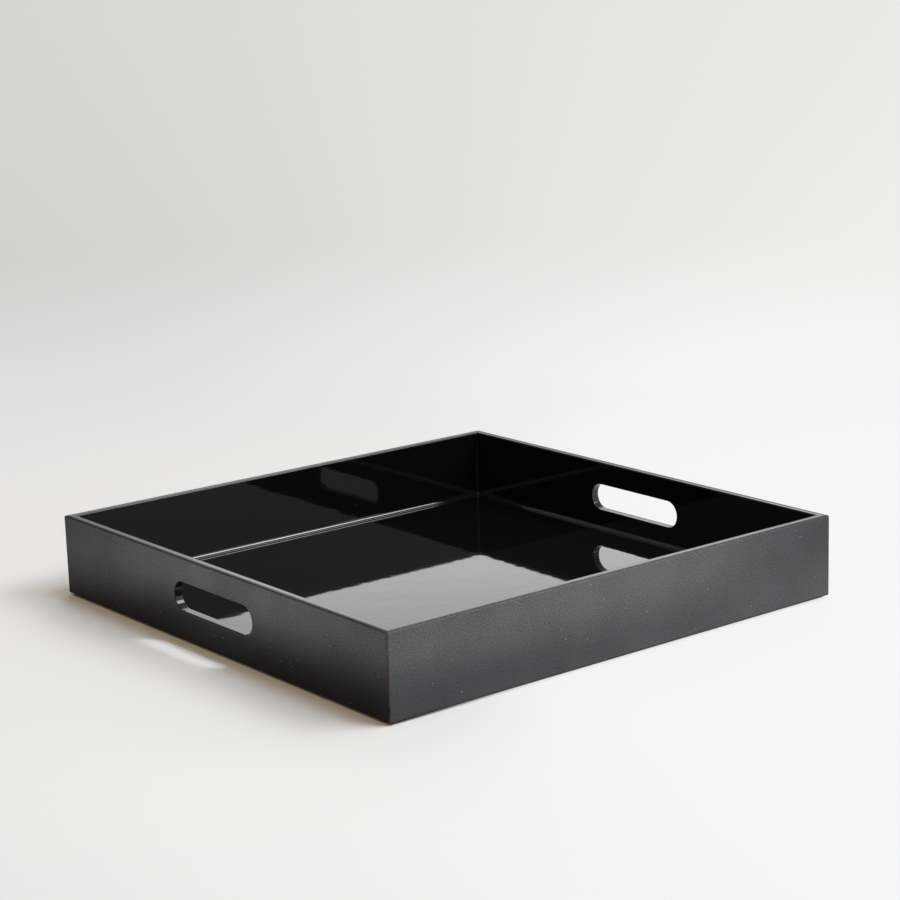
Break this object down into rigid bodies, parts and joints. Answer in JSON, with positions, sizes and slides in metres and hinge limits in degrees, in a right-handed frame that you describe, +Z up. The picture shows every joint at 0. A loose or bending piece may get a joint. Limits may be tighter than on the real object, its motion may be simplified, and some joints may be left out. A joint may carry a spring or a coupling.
{
  "type": "breakfast tray",
  "caption": "Square black lacquered breakfast tray: upright mitred walls, a round-ended hand slot in each end wall, a coved flat floor and a base set back under the walls.",
  "frame": {"origin": "centre of the underside, on the surface that the tray stands on", "axes": "+Z up; X runs from one slotted end wall to the other; the plain front wall faces -Y"},
  "size_m": [0.4, 0.4, 0.0615],
  "materials": {
    "wall_lacquer": "black lacquer on board, satin outside and glossy inside, worn to red-brown along the arrises",
    "floor_lacquer": "black lacquer on board, mirror gloss above, matt below",
    "cove_lacquer": "black lacquer over filler, mirror gloss",
    "key_wood": "bare hardwood, hidden in the mitres"
  },
  "bodies": {
    "root": {"left_end_wall": "wall_lacquer", "right_end_wall": "wall_lacquer", "front_wall": "wall_lacquer", "back_wall": "wall_lacquer", "base_panel": "floor_lacquer", "floor_cove_left": "cove_lacquer", "floor_cove_right": "cove_lacquer", "floor_cove_front": "cove_lacquer", "floor_cove_back": "cove_lacquer", "corner_fillet_front_left": "cove_lacquer", "corner_fillet_front_right": "cove_lacquer", "corner_fillet_back_left": "cove_lacquer", "corner_fillet_back_right": "cove_lacquer", "corner_key_front_left": "key_wood", "corner_key_front_right": "key_wood", "corner_key_back_left": "key_wood", "corner_key_back_right": "key_wood"}
  },
  "joints": []
}
